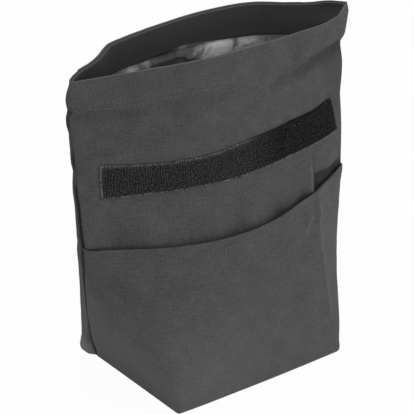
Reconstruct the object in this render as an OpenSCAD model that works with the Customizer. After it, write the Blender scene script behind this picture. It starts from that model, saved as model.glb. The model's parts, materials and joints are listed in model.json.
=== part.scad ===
// Roll-top film pouch: a boxed canvas bag with a silvered lining, a hook strip
// across the front and a full-width patch pocket below it.
// Every wall is a cloth shell lofted between a boxed base and a lens-shaped mouth.
// X runs along the front, -Y is the front, +Z is up, the origin is the middle of the base.

/* [Bag] */
// Width of the boxed base
base_w = 162; // [140:1:180]
// Depth of the boxed base
base_d = 130; // [115:1:145]
// Height from the base to the rim
bag_h = 270; // [255:1:290]
// Width at the height of the pocket mouth, seam to seam
waist_w = 258; // [246:1:262]
// Width of the mouth at the rim, seam to seam
mouth_w = 262; // [252:1:270]
// How far the front rim stands in front of the middle
mouth_front = 31; // [26:1:36]
// How far the back rim stands behind the middle
mouth_back = 51; // [44:1:58]
// How far the side seams lie behind the middle at the base
seam_base = 45; // [38:1:50]
// How far the side seams lie in front of the middle at the waist
seam_waist = 10; // [6:1:12]
// How far the side seams lie in front of the middle at the rim
seam_rim = 7; // [4:1:10]
// How far the front panel stands in front of the middle at the waist
waist_front = 49; // [47:1:52]
// How far the back panel stands behind the middle at the waist
waist_back = 62; // [56:1:66]
// Share by which the left of the front is fuller than the right
left_fullness = 0.2; // [0:0.02:0.24]

/* [Pocket] */
// Height of the pocket mouth above the base
pocket_h = 136; // [125:1:145]
// Gap between the pocket and the front panel at the middle of the mouth
pocket_gap = 14; // [12:0.5:15]
// Depth of the turned hem at the pocket mouth
pocket_hem_h = 9; // [7:0.5:12]

/* [Roll closure] */
// Depth of the hem band at the rim
hem_h = 26; // [26:0.5:28]
// Height of the band between the two folds of the roll
fold_pitch = 36; // [32:1:36]
// Width of the hook and loop tapes
tape_w = 25; // [20:1:25]
// Straight span of the tapes from end to end
tape_span = 218; // [200:2:226]
// Height at which the back wall starts to lean in when the mouth closes
bend_h = 100; // [80:1:120]

/* [Cloth] */
// Thickness of the canvas
canvas_t = 1.4; // [1:0.1:1.8]
// Thickness of the lining
lining_t = 0.8; // [0.6:0.1:1.2]
// Thickness of the facing inside the mouth
facing_t = 1.2; // [0.8:0.1:1.4]
// Thickness of the hook and loop tapes
tape_t = 2; // [1.6:0.1:2.4]
// Thickness of the board in the base
board_t = 2.5; // [2:0.1:3]
// Width of the tape that binds each side seam
binding_w = 6; // [4:0.5:8]
// Thickness of the binding tape
binding_t = 1.6; // [1.2:0.1:2]

/* [Stitching] */
// Diameter of the thread
thread_d = 0.7; // [0.5:0.1:1]
// Distance of a stitch row from the edge that it holds
edge_gap = 2; // [1.5:0.25:3]

/* [Fits] */
// Gap between pieces that move apart
move_gap = 0.4; // [0.3:0.05:0.6]
// Gap between a tape or thread and the cloth that it lies on
lay_gap = 0.15; // [0.1:0.05:0.3]
// Gap between the pocket and the front panel along the side seams
pocket_seam_gap = 0.7; // [0.6:0.05:1]

/* [Hidden] */
hem_z = bag_h - hem_h;
roll_z = hem_z - fold_pitch;
hook_z = hem_z - 2 * fold_pitch + (hem_h - tape_w) / 2;
loop_z = hem_z + (hem_h - tape_w) / 2;
base_top = canvas_t + board_t + lining_t;
lining_d = canvas_t + 2 * lay_gap;
tape_d = 2 * lay_gap;
pocket_thread_d = canvas_t + 3 * lay_gap;
base_in = canvas_t + 2 * move_gap;
wall_in = lining_d + lining_t;

// Powers of the outline: 2 along X and 1 along Y give a lens, large values give a box
box_power = 16;
lens_power = 2;
back_waist_power = 3.4;
back_rim_power = 2.6;

wall_cols = 28;
strip_cols = 24;
row_step = 14;

canvas_grey = [0.29, 0.29, 0.30];
lining_silver = [0.62, 0.63, 0.65];
facing_dark = [0.13, 0.13, 0.14];
tape_black = [0.09, 0.09, 0.10];
thread_grey = [0.42, 0.42, 0.43];
thread_black = [0.12, 0.12, 0.13];
board_grey = [0.36, 0.33, 0.30];

function mix(a, b, t) = a + (b - a) * t;

// Share of the way from the base to the waist, and from the waist to the rim
function low(z) = min(z / pocket_h, 1);
function high(z) = max((z - pocket_h) / (bag_h - pocket_h), 0);

// Half width, seam, front and back of the outer surface at height z
function half_w(z) =
  z < pocket_h ? mix(base_w, waist_w, 1 - pow(1 - low(z), 1.1)) / 2 : mix(waist_w, mouth_w, high(z)) / 2;
function seam_y(z) =
  z < pocket_h ? mix(seam_base, -seam_waist, low(z)) : mix(-seam_waist, -seam_rim, high(z));
function front_y(z) =
  z < pocket_h ? -mix(base_d / 2, waist_front, pow(low(z), 2))
    : -mix(mouth_front, waist_front, pow(1 - high(z), 2));
function back_y(z) =
  z < pocket_h ? mix(base_d / 2, waist_back, low(z)) : mix(waist_back, mouth_back, high(z));

// Powers along X and Y of the outline at height z, boxy at the base and a lens from the waist up
function boxy(z, rate) = pow(1 - low(z), rate);
function front_px(z) = lens_power * pow(box_power / lens_power, boxy(z, 1.2));
function back_px(z) =
  z < pocket_h ? back_waist_power * pow(box_power / back_waist_power, boxy(z, 2.5))
    : mix(back_waist_power, back_rim_power, high(z));
function depth_power(z) = pow(box_power, boxy(z, 1.2));
function skew(z) = left_fullness * (z < pocket_h ? low(z) : pow(1 - high(z), 2));

// Reach of the unit outline |x|^px + |y|^py = 1 along a direction, by halving
function reach(c, s, px, py, lo = 0.4, hi = 1.5, n = 24) =
  n == 0 ? (lo + hi) / 2
    : let (m = (lo + hi) / 2)
      pow(m * c, px) + pow(m * s, py) > 1 ? reach(c, s, px, py, lo, m, n - 1)
        : reach(c, s, px, py, m, hi, n - 1);

// Point on the front or back at height z, turn a from the left seam to the right, inset d
function wall_pt(front, z, a, d) =
  let (
    c = cos(a),
    s = sin(a),
    r = reach(abs(c), s, front ? front_px(z) : back_px(z), depth_power(z)),
    x = -(half_w(z) - d) * r * c,
    y0 = seam_y(z) + (front ? 0 : lay_gap),
    deep = front ? y0 - front_y(z) : back_y(z) - y0,
    k = front ? skew(z) : 0,
    y = (deep - d) * r * s * (1 - k * x / half_w(z))
  )
  [x, front ? y0 - y : y0 + y, z];

// Point on the front or back at height z and place x, stood off by d, above the waist
function strip_pt(front, z, x, d) =
  let (
    y0 = seam_y(z),
    u = abs(x) / half_w(z),
    deep = front ? y0 - front_y(z) : back_y(z) - y0,
    k = front ? skew(z) : 0,
    y = (deep + d) * (1 - pow(u, front ? front_px(z) : back_px(z))) * (1 - k * x / half_w(z))
  )
  [x, front ? y0 - y - d * u : y0 + y + d * u, z];

// Stand-off of the pocket from the front panel
function pocket_off(z, a) = pocket_seam_gap + (pocket_gap - pocket_seam_gap) * pow(low(z), 1.3) * sin(a);

// Rows from z0 to z1 on levels that all walls share, and turns that leave out skip columns at each seam
function heights(z0, z1) = [
  z0,
  for (k = [1:1:ceil(bag_h / row_step)]) let (z = k * row_step) if (z > z0 + 1 && z < z1 - 1) z,
  z1
];
function turns(skip = 0) = [for (j = [skip:wall_cols - skip]) 180 * j / wall_cols];
function spans(w) = [for (j = [0:strip_cols]) mix(-w / 2, w / 2, j / strip_cols)];

// Closed solid between two grids of points with the same rows and columns.
// Seen from outside the first grid, columns run to the right and rows run up.
module sheet_solid(outer, inner) {
  rows = len(outer);
  cols = len(outer[0]);
  count = rows * cols;
  points = [for (g = [outer, inner]) for (row = g) for (p = row) p];
  function at(side, i, j) = side * count + i * cols + j;
  function quad(a, b, c, d) = [[a, b, c], [a, c, d]];
  faces = [
    for (i = [0:rows - 2]) for (j = [0:cols - 2]) each concat(
      quad(at(0, i, j), at(0, i + 1, j), at(0, i + 1, j + 1), at(0, i, j + 1)),
      quad(at(1, i, j), at(1, i, j + 1), at(1, i + 1, j + 1), at(1, i + 1, j))
    ),
    for (i = [0:rows - 2]) each concat(
      quad(at(0, i, 0), at(1, i, 0), at(1, i + 1, 0), at(0, i + 1, 0)),
      quad(at(0, i, cols - 1), at(0, i + 1, cols - 1), at(1, i + 1, cols - 1), at(1, i, cols - 1))
    ),
    for (j = [0:cols - 2]) each concat(
      quad(at(0, 0, j), at(0, 0, j + 1), at(1, 0, j + 1), at(1, 0, j)),
      quad(at(0, rows - 1, j), at(1, rows - 1, j), at(1, rows - 1, j + 1), at(0, rows - 1, j + 1))
    )
  ];
  polyhedron(points, faces, convexity = 6);
}

// Cloth wall between heights z0 and z1 and insets d0 and d1
module wall(front, z0, z1, d0, d1) {
  sheet_solid(
    [for (z = heights(z0, z1)) [for (a = turns()) wall_pt(front, z, front ? a : 180 - a, d0)]],
    [for (z = heights(z0, z1)) [for (a = turns()) wall_pt(front, z, front ? a : 180 - a, d1)]]
  );
}

// Strip laid on the outside of a wall between heights z0 and z1, from d0 to d1 above the cloth
module strip(front, z0, z1, w, d0, d1) {
  way = front ? 1 : -1;
  sheet_solid(
    [for (z = heights(z0, z1)) [for (x = spans(w)) strip_pt(front, z, way * x, d1)]],
    [for (z = heights(z0, z1)) [for (x = spans(w)) strip_pt(front, z, way * x, d0)]]
  );
}

// Row of thread on the outside of a wall at height z
module thread_row(front, z, w, off) {
  strip(front, z - thread_d / 2, z + thread_d / 2, w, off, off + thread_d);
}

// Sheet that stands off the front panel like the pocket, from d0 to d1 outside the pocket's inner face
module pocket_sheet(z0, z1, skip, d0, d1) {
  sheet_solid(
    [for (z = heights(z0, z1)) [for (a = turns(skip)) wall_pt(true, z, a, -pocket_off(z, a) - d1)]],
    [for (z = heights(z0, z1)) [for (a = turns(skip)) wall_pt(true, z, a, -pocket_off(z, a) - d0)]]
  );
}

// Flat outline of the base, drawn in by d
module base_outline(d) {
  polygon([
    for (a = turns()) let (p = wall_pt(true, 0, a, d)) [p[0], p[1]],
    for (j = [1:wall_cols - 1]) let (p = wall_pt(false, 0, 180 - 180 * j / wall_cols, d)) [p[0], p[1]]
  ]);
}

// Binding tape folded over the allowance of one side seam, inside the lining
module seam_binding(side) {
  function edge(z, dx, dy) = [side * (half_w(z) - wall_in - dx), seam_y(z) + dy, z];
  zs = heights(base_top + move_gap, roll_z - move_gap / 2);
  near = 4;
  far = near + binding_w;
  half_t = binding_t / 2;
  sheet_solid(
    [for (z = zs) [edge(z, side > 0 ? far : near, -half_t), edge(z, side > 0 ? near : far, -half_t)]],
    [for (z = zs) [edge(z, side > 0 ? far : near, half_t), edge(z, side > 0 ? near : far, half_t)]]
  );
}

module base_panel() {
  color(canvas_grey) linear_extrude(canvas_t) base_outline(0);
}

module base_board() {
  color(board_grey) translate([0, 0, canvas_t]) linear_extrude(board_t) base_outline(base_in);
}

module base_lining() {
  color(lining_silver) translate([0, 0, canvas_t + board_t]) linear_extrude(lining_t) base_outline(base_in);
}

module front_panel() {
  color(canvas_grey) wall(true, canvas_t, roll_z - move_gap / 2, 0, canvas_t);
}

module front_lining() {
  color(lining_silver) wall(true, base_top + lay_gap, roll_z - move_gap / 2, lining_d, wall_in);
}

module back_panel() {
  color(canvas_grey) wall(false, canvas_t, bend_h - move_gap / 2, 0, canvas_t);
}

module back_lining() {
  color(lining_silver) wall(false, base_top + lay_gap, bend_h - move_gap / 2, lining_d, wall_in);
}

module back_panel_upper() {
  color(canvas_grey) wall(false, bend_h + move_gap / 2, roll_z - move_gap / 2, 0, canvas_t);
}

module back_lining_upper() {
  color(lining_silver) wall(false, bend_h + move_gap / 2, roll_z - move_gap / 2, lining_d, wall_in);
}

module left_seam_binding() {
  color(facing_dark) seam_binding(-1);
}

module right_seam_binding() {
  color(facing_dark) seam_binding(1);
}

module hook_tape() {
  color(tape_black) strip(true, hook_z, hook_z + tape_w, tape_span, tape_d, tape_d + tape_t);
}

module hook_tape_stitching() {
  color(thread_black) for (z = [hook_z + edge_gap, hook_z + tape_w - edge_gap])
    thread_row(true, z, tape_span - 2 * edge_gap, tape_d + tape_t + lay_gap);
}

module front_roll() {
  color(canvas_grey) wall(true, roll_z + move_gap / 2, hem_z - move_gap / 2, 0, canvas_t);
}

module back_roll() {
  color(canvas_grey) wall(false, roll_z + move_gap / 2, hem_z - move_gap / 2, 0, canvas_t);
}

module front_roll_lining() {
  color(lining_silver) wall(true, roll_z + move_gap / 2, hem_z - move_gap / 2, lining_d, wall_in);
}

module back_roll_lining() {
  color(lining_silver) wall(false, roll_z + move_gap / 2, hem_z - move_gap / 2, lining_d, wall_in);
}

module front_hem() {
  color(canvas_grey) wall(true, hem_z + move_gap / 2, bag_h, 0, canvas_t);
}

module back_hem() {
  color(canvas_grey) wall(false, hem_z + move_gap / 2, bag_h, 0, canvas_t);
}

module front_facing() {
  color(facing_dark) wall(true, hem_z + move_gap / 2, bag_h, lining_d, lining_d + facing_t);
}

module back_facing() {
  color(facing_dark) wall(false, hem_z + move_gap / 2, bag_h, lining_d, lining_d + facing_t);
}

module loop_tape() {
  color(tape_black) strip(false, loop_z, loop_z + tape_w, tape_span, tape_d, tape_d + tape_t);
}

module loop_tape_stitching() {
  color(thread_black) for (z = [loop_z + edge_gap, loop_z + tape_w - edge_gap])
    thread_row(false, z, tape_span - 2 * edge_gap, tape_d + tape_t + lay_gap);
}

module front_hem_stitching() {
  color(thread_grey) thread_row(true, hem_z + edge_gap, mouth_w - 4 * edge_gap, lay_gap);
}

module pocket_panel() {
  color(canvas_grey) pocket_sheet(canvas_t, pocket_h, 0, 0, canvas_t);
}

module pocket_hem() {
  color(canvas_grey) pocket_sheet(pocket_h - pocket_hem_h, pocket_h, 5, -canvas_t - lay_gap, -lay_gap);
}

module pocket_stitching() {
  row_z = pocket_h - pocket_hem_h + edge_gap / 2;
  half_t = thread_d / 2;
  color(thread_grey)
    pocket_sheet(row_z - half_t, row_z + half_t, 1, pocket_thread_d, pocket_thread_d + thread_d);
}

base_panel();
base_board();
base_lining();
front_panel();
front_lining();
back_panel();
back_lining();
left_seam_binding();
right_seam_binding();
hook_tape();
hook_tape_stitching();
back_panel_upper();
back_lining_upper();
front_roll();
back_roll();
front_roll_lining();
back_roll_lining();
front_hem();
back_hem();
front_facing();
back_facing();
loop_tape();
loop_tape_stitching();
front_hem_stitching();
pocket_panel();
pocket_hem();
pocket_stitching();
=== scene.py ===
import json
import math

import bpy
import numpy as np
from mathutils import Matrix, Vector

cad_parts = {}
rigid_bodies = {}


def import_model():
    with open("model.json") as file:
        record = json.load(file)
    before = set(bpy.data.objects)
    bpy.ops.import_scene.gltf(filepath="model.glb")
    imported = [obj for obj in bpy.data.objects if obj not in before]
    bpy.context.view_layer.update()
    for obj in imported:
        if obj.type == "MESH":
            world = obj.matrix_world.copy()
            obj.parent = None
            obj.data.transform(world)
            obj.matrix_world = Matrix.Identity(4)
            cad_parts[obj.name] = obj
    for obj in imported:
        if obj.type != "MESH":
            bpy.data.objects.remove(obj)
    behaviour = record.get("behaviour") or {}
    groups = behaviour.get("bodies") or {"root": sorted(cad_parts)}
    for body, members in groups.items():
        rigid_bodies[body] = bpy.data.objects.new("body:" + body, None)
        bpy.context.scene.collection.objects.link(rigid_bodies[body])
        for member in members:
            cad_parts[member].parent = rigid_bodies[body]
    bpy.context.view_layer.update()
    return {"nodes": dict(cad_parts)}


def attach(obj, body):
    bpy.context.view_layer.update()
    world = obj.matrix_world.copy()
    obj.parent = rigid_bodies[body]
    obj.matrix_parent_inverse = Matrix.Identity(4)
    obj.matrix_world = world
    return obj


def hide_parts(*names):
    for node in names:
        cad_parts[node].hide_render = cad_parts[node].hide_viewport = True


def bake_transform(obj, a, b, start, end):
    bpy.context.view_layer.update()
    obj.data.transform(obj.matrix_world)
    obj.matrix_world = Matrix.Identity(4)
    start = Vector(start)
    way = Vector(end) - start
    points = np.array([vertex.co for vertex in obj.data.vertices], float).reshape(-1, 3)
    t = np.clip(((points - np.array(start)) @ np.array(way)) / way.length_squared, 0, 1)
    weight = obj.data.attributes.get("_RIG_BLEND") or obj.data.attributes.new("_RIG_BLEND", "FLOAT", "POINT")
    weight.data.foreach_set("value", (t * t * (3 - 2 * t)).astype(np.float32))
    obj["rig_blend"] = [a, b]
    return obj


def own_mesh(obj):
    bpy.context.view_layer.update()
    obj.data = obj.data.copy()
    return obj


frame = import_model()
scene = bpy.context.scene
scene.view_settings.view_transform = "Standard"
mm = 0.001
print("frame loaded:", len(frame["nodes"]), "nodes")


# camera at the photograph's angle
cameraView = {
    "azimuth": -36.93, "elevation": 25.92, "distance": 1574.4, "target": (0, -10, 135.2),
    "lens": 173.9, "sensor": 36, "shift": (-0.0273, -0.0063), "clip": (0.05, 20),
}


def placeAlong(item, place, direction):
    item.location = place
    item.rotation_mode = "QUATERNION"
    item.rotation_quaternion = direction.to_track_quat("-Z", "Y")
    scene.collection.objects.link(item)


def addCamera(v):
    a, e = math.radians(v["azimuth"]), math.radians(v["elevation"])
    back = Vector((math.sin(a) * math.cos(e), -math.cos(a) * math.cos(e), math.sin(e)))
    data = bpy.data.cameras.new("productCamera")
    data.lens, data.sensor_width = v["lens"], v["sensor"]
    data.shift_x, data.shift_y = v["shift"]
    data.clip_start, data.clip_end = v["clip"]
    cam = bpy.data.objects.new("productCamera", data)
    placeAlong(cam, (Vector(v["target"]) + back * v["distance"]) * mm, -back)
    scene.camera = cam


addCamera(cameraView)


# form of the pouch in millimetres, the same as the solids; a crisp is how sharp a corner is and up to what height
bagForm = {
    "rows": 271, "baseWidth": 162, "baseDepth": 130, "waist": 136, "fold": 208, "hem": 244, "height": 270,
    "waistWidth": 258, "mouthWidth": 262, "mouthFront": 31, "mouthBack": 51,
    "seamBase": 45, "seamWaist": 10, "seamRim": 7, "waistFront": 49, "waistBack": 62,
    "leftFullness": 0.2, "flare": 1.1, "boxPower": 34, "boxFade": 1.6, "lensPower": 2,
    "backWaistPower": 3.4, "backRimPower": 2.6, "backBoxFade": 2.5, "leftCrisp": (3, 30), "rightCrisp": (1.8, 9),
}


def mix(a, b, t):
    return a + (b - a) * t


def ease(t):
    t = np.clip(t, 0.0, 1.0)
    return t * t * (3.0 - 2.0 * t)


def rise(v, start, over):
    return ease((v - start) / over)


def fall(v, start, over):
    return 1.0 - ease((v - start) / over)


def tilt(v, gain, start):
    return ease(v * gain - start)


def bell(v, middle, reach):
    return np.exp(-((v - middle) / reach) ** 2)


def low(z):
    return np.clip(z / bagForm["waist"], 0.0, 1.0)


def high(z):
    return np.clip((z - bagForm["waist"]) / (bagForm["height"] - bagForm["waist"]), 0.0, 1.0)


def atWaist(z, below, above):
    return np.where(z < bagForm["waist"], below, above)


def halfWidth(z):
    f = bagForm
    below = mix(f["baseWidth"], f["waistWidth"], 1.0 - (1.0 - low(z)) ** f["flare"])
    return atWaist(z, below, mix(f["waistWidth"], f["mouthWidth"], high(z))) / 2.0


def seamLine(z):
    f = bagForm
    return atWaist(z, mix(f["seamBase"], -f["seamWaist"], low(z)), mix(-f["seamWaist"], -f["seamRim"], high(z)))


def frontLine(z):
    f = bagForm
    below = -mix(f["baseDepth"] / 2.0, f["waistFront"], low(z) ** 2)
    return atWaist(z, below, -mix(f["mouthFront"], f["waistFront"], (1.0 - high(z)) ** 2))


def backLine(z):
    f = bagForm
    return atWaist(z, mix(f["baseDepth"] / 2.0, f["waistBack"], low(z)), mix(f["waistBack"], f["mouthBack"], high(z)))


def reachOut(c, s, px, py, least=0.4, most=1.5, halvings=26):
    lo, hi = np.full_like(c, least), np.full_like(c, most)
    for _ in range(halvings):
        m = (lo + hi) / 2.0
        out = (m * c) ** px + (m * s) ** py > 1.0
        hi, lo = np.where(out, m, hi), np.where(out, lo, m)
    return (lo + hi) / 2.0


def outline(front, z, turn, inset=0.0):
    f = bagForm
    c, s = np.cos(turn), np.maximum(np.sin(turn), 0.0)
    boxed = (1.0 - low(z)) ** f["boxFade"]
    py = f["boxPower"] ** boxed
    if front:
        sharp, tall = (np.where(c > 0.0, *pair) for pair in zip(f["leftCrisp"], f["rightCrisp"]))
        crisp = mix(sharp, 1.0, ease(z / tall))
        px = f["lensPower"] * (f["boxPower"] / f["lensPower"]) ** boxed * crisp
        py = py * crisp
        deep = seamLine(z) - frontLine(z)
        skew = f["leftFullness"] * atWaist(z, low(z), (1.0 - high(z)) ** 2)
    else:
        below = f["backWaistPower"] * (f["boxPower"] / f["backWaistPower"]) ** ((1.0 - low(z)) ** f["backBoxFade"])
        px = atWaist(z, below, mix(f["backWaistPower"], f["backRimPower"], high(z)))
        deep = backLine(z) - seamLine(z)
        skew = 0.0
    r = reachOut(np.abs(c), s, px, py)
    x = -(halfWidth(z) - inset) * r * c
    y = (deep - inset) * r * s * (1.0 - skew * x / halfWidth(z))
    return x, seamLine(z) - y if front else seamLine(z) + y


def softNoise(x, z, size, seed, cells=64):
    table = np.random.default_rng(seed).uniform(-1.0, 1.0, (cells, cells))
    fx, fz = x / size + 10.0 * cells, z / size + 10.0 * cells
    ix, iz = np.floor(fx).astype(int), np.floor(fz).astype(int)
    tx, tz = ease(fx - ix), ease(fz - iz)

    def at(i, j):
        return table[(ix + i) % cells, (iz + j) % cells]
    return mix(mix(at(0, 0), at(1, 0), tx), mix(at(0, 1), at(1, 1), tx), tz)


def ridge(x, z, x0, z0, x1, z1, width, height, fade=0.25):
    # raised or sunk line between two points, fading out at both ends
    dx, dz = x1 - x0, z1 - z0
    long = math.hypot(dx, dz)
    t = ((x - x0) * dx + (z - z0) * dz) / long ** 2
    off = np.abs((x - x0) * dz - (z - z0) * dx) / long
    return height * bell(off, 0.0, width) * ease(np.minimum(t, 1.0 - t) / fade + 0.5)


def billow(x, z, middleX, middleZ, wide, tall, height):
    return height * np.exp(-((x - middleX) / wide) ** 2 - ((z - middleZ) / tall) ** 2)


def addFolds(out, x, z, folds):
    for share, size, seed in folds.get("noise", ()):
        out = out + share * softNoise(x, z, size, seed)
    for fold in folds["billows"]:
        out = out + billow(x, z, *fold)
    for fold in folds["ridges"]:
        out = out + ridge(x, z, *fold)
    return out


def sumRows(rows, on):
    # each row is a weight and its factors: what is read, then the ramp it goes through, where it has one
    total = 0.0
    for weight, *factors in rows:
        for name, *ramp in factors:
            weight = weight * (ramp[0](on[name], *ramp[1:]) if ramp else on[name])
        total = total + weight
    return total


def xz(p):
    return p[..., 0], p[..., 2]


def seamEdge(run):
    return np.abs(run[:, -1:]) - np.abs(run)


def gridNormals(grid, way):
    n = np.cross(np.gradient(grid, axis=1), np.gradient(grid, axis=0)) * way
    return n / np.maximum(np.linalg.norm(n, axis=2, keepdims=True), 1e-9)


class Surface:
    # fine grid of one wall with rows up the height and columns from the left seam to the right
    def __init__(self, heights, plan, way, push, cols=361):
        turn = np.linspace(0.0, math.pi, 2 * cols - 1)
        share = np.linspace(0.0, 1.0, cols)
        rows, runs = [], []
        for z in heights:
            x, y = plan(np.full_like(turn, z), turn)
            run = np.concatenate([[0.0], np.cumsum(np.hypot(np.diff(x), np.diff(y)))])
            s = share * run[-1]
            rows.append(np.stack([np.interp(s, run, x), np.interp(s, run, y), np.full(cols, z)], -1))
            runs.append(s - run[-1] / 2.0)
        self.heights, self.share = np.array(heights), share
        self.grid, self.run = np.array(rows), np.array(runs)
        self.grid = push(self.grid, self.run, gridNormals(self.grid, way))
        self.normal = gridNormals(self.grid, way)

    def rowAt(self, z):
        return np.interp(z, self.heights, np.arange(len(self.heights)))

    def sample(self, z, share):
        i = np.clip(self.rowAt(z), 0, len(self.heights) - 1.001)
        j = np.clip(share * (len(self.share) - 1), 0, len(self.share) - 1.001)
        a, b = i.astype(int), j.astype(int)
        ta, tb = (i - a)[..., None], (j - b)[..., None]

        def read(g):
            return mix(mix(g[a, b], g[a, b + 1], tb), mix(g[a + 1, b], g[a + 1, b + 1], tb), ta)
        n = read(self.normal)
        return read(self.grid), n / np.linalg.norm(n, axis=-1, keepdims=True), read(self.run[..., None])[..., 0]

    def shareAt(self, z, x):
        rows = np.rint(self.rowAt(z)).astype(int)
        found = [np.interp(px, self.grid[k, :, 0], self.share) for k, px in zip(np.ravel(rows), np.ravel(x))]
        return np.array(found).reshape(np.shape(x))


# how the cloth hangs, in millimetres: where the sides stand and which folds and hollows each wall has
sideLean = {
    "leftReach": (1.5, 0.35), "rightReach": (2.2, 1.15),
    "x": [(-1.6, ("z", rise, 140, 40), ("left",)), (1.2, ("z", bell, 246, 6), ("toLeft", tilt, 3, 1.9)),
          (1, ("nips",), ("toLeft", tilt, 7, 5.9)), (-3.6, ("z", bell, 243, 13), ("right",)),
          (4, ("z", rise, 252, 14), ("right",)), (0.8, ("shift",))],
    "y": [(7, ("z", rise, 138, 50), ("z", fall, 212, 36), ("left",)), (2, ("z", rise, 140, 60), ("left",)),
          (6, ("z", rise, 250, 18), ("toRight", tilt, 5, 4)), (-0.6, ("shift",))],
    "left": ([0, 8, 15, 25, 34, 43, 53, 63, 94, 105, 113, 121, 143, 150, 156, 162, 174, 187, 200, 213, 226, 233, 240,
              254, 260, 268],
             [1, 3.4, 4.6, 3.9, 3.1, 2.5, 1.3, 0.5, 0, -0.4, -1, -2, -3, -2.4, -1.6, -0.5, 1.3, 2.7, 2.4, 2.2, 0, -2.5,
              -3.8, -3.5, -2.5, 0]),
    "right": ([0, 8, 14, 26, 38, 44, 56, 63, 75, 87, 97, 107, 116, 122, 129, 136, 156, 171, 184, 198, 212, 226, 240,
               247, 259, 264, 270],
              [0, -0.4, -1.3, -2.4, -3.4, -3.8, -4.4, -4.2, -3, -0.8, 1.9, 4.2, 4.4, 3.2, 2, -0.8, -0.8, -1, -1.7,
               -2.7, -1.8, -1.2, -0.8, -0.6, 1.8, 2.6, 1.4]),
    "nips": ([168, 177, 187, 194.5, 201, 205, 212, 219, 226], [0, -0.7, -0.7, 0.5, -0.7, -0.9, -0.8, -0.3, 0]),
}
rimLift = {
    "from": (246, 22),
    "front": ([0, 0.12, 0.25, 0.43, 0.52, 0.74, 0.85, 0.93, 1], [-1, 0.7, 1.5, 0.4, 0.5, -0.3, -1, 0, 2.2]),
    "back": ([0, 0.08, 0.15, 0.2, 0.27, 0.33, 0.4, 0.52, 0.65, 0.71, 0.76, 0.82, 0.9, 0.95, 1],
             [-1, -2, -2.4, -1.2, 0, -1, -0.6, 1.4, 1.5, 1.2, 0.6, -1, -1.3, 0, 2.2]),
}


def leanSides(p):
    d, z = sideLean, p[..., 2]
    share = p[..., 0] / halfWidth(z)
    left, right = tilt(-share, *d["leftReach"]), tilt(share, *d["rightReach"])
    shift = np.interp(z, *d["left"]) * left + np.interp(z, *d["right"]) * right
    on = {"z": z, "toLeft": -share, "toRight": share, "left": left, "right": right, "shift": shift,
          "nips": np.interp(z, *d["nips"])}
    p[..., 0] += sumRows(d["x"], on)
    p[..., 1] += sumRows(d["y"], on)
    return p


def liftRim(p, run, side):
    share = 0.5 + 0.5 * run / run[:, -1:]
    p[..., 2] += np.interp(share, *rimLift[side]) * rise(p[..., 2], *rimLift["from"])
    return p


seamDrift = {
    "z": [0, 8, 16, 24, 32, 40, 48, 56, 64, 72, 80, 88, 96, 104, 112, 120, 128, 136, 144, 152, 160, 176, 184, 192],
    "by": [0, 5.6, 9.2, 8.9, 8.1, 7.2, 5.8, 4.5, 3.3, 2.7, 2.1, 1.5, 0.8, 0, -1, -2.3, -2.8, -2.7, -2.1, -1.9, -1.5,
           -1.1, -0.4, 0],
    "way": (0.35, 0.9), "footSoft": 14, "frontReach": ([0, 270], [30, 30]), "backReach": ([0, 96, 120], [16, 16, 5]),
}


def rollSeams(p, run, depth, reach, drift="frontReach"):
    d, edge = seamDrift, seamEdge(run)
    z = p[..., 2]
    p[..., 0] -= np.sign(run) * depth * bell(edge, 0.0, reach) * ease(z / d["footSoft"])
    by = np.interp(z, d["z"], d["by"]) * bell(edge, 0.0, np.interp(z, *d[drift])) * (run < 0.0)
    p[..., 0] -= d["way"][0] * by
    p[..., 1] += d["way"][1] * by
    return p


hemForm = {
    "puff": ([-130, 10, 70, 128], [0.5, 0.6, 2, 2.4]), "step": ([20, 70], [3, 9]), "below": 0.4, "settle": (0.7, 4, 16),
    "dip": (0.8, 1.5), "backShare": 0.4, "backRow": 246,
    "x": [-130, -96, -78, -57, -41, -21, 0, 21, 45, 80, 110, 128],
    "row": [246.2, 244.8, 245.2, 246.8, 246.8, 245.6, 243.6, 240.4, 238.8, 243, 245, 244],
}


def hemRow(x):
    return np.interp(x, hemForm["x"], hemForm["row"])


def hemRelief(x, z, row):
    h = hemForm
    step = np.interp(x, *h["step"])
    flat, start, over = h["settle"]
    puff = np.interp(x, *h["puff"]) * ease((z - row + h["below"] * step) / step)
    return puff * (1.0 - flat * rise(z - row, start, over)) - h["dip"][0] * bell(z, row, h["dip"][1])


# how every wall is held: flat towards its seams and base, bulged along the base, tucked under at the very edge
wallHold = {"seam": 16, "base": 30, "bulge": 1.6, "bulgeHalf": 81, "tuck": (1.2, 2.5), "pocketTuck": (1, 2),
            "roll": (2.4, 3.4), "pocketRoll": (3.6, 3.2)}


def held(out, run, z):
    return out * (ease(seamEdge(run) / wallHold["seam"]) * ease(z / wallHold["base"]))


def baseBulge(x, z):
    h = wallHold
    return h["bulge"] * np.maximum(1.0 - (x / h["bulgeHalf"]) ** 2, 0.0) * bell(z, 0.0, h["base"])


def baseTuck(z, deep, over):
    return deep * (1.0 - np.minimum(z / over, 1.0)) ** 2


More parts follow.
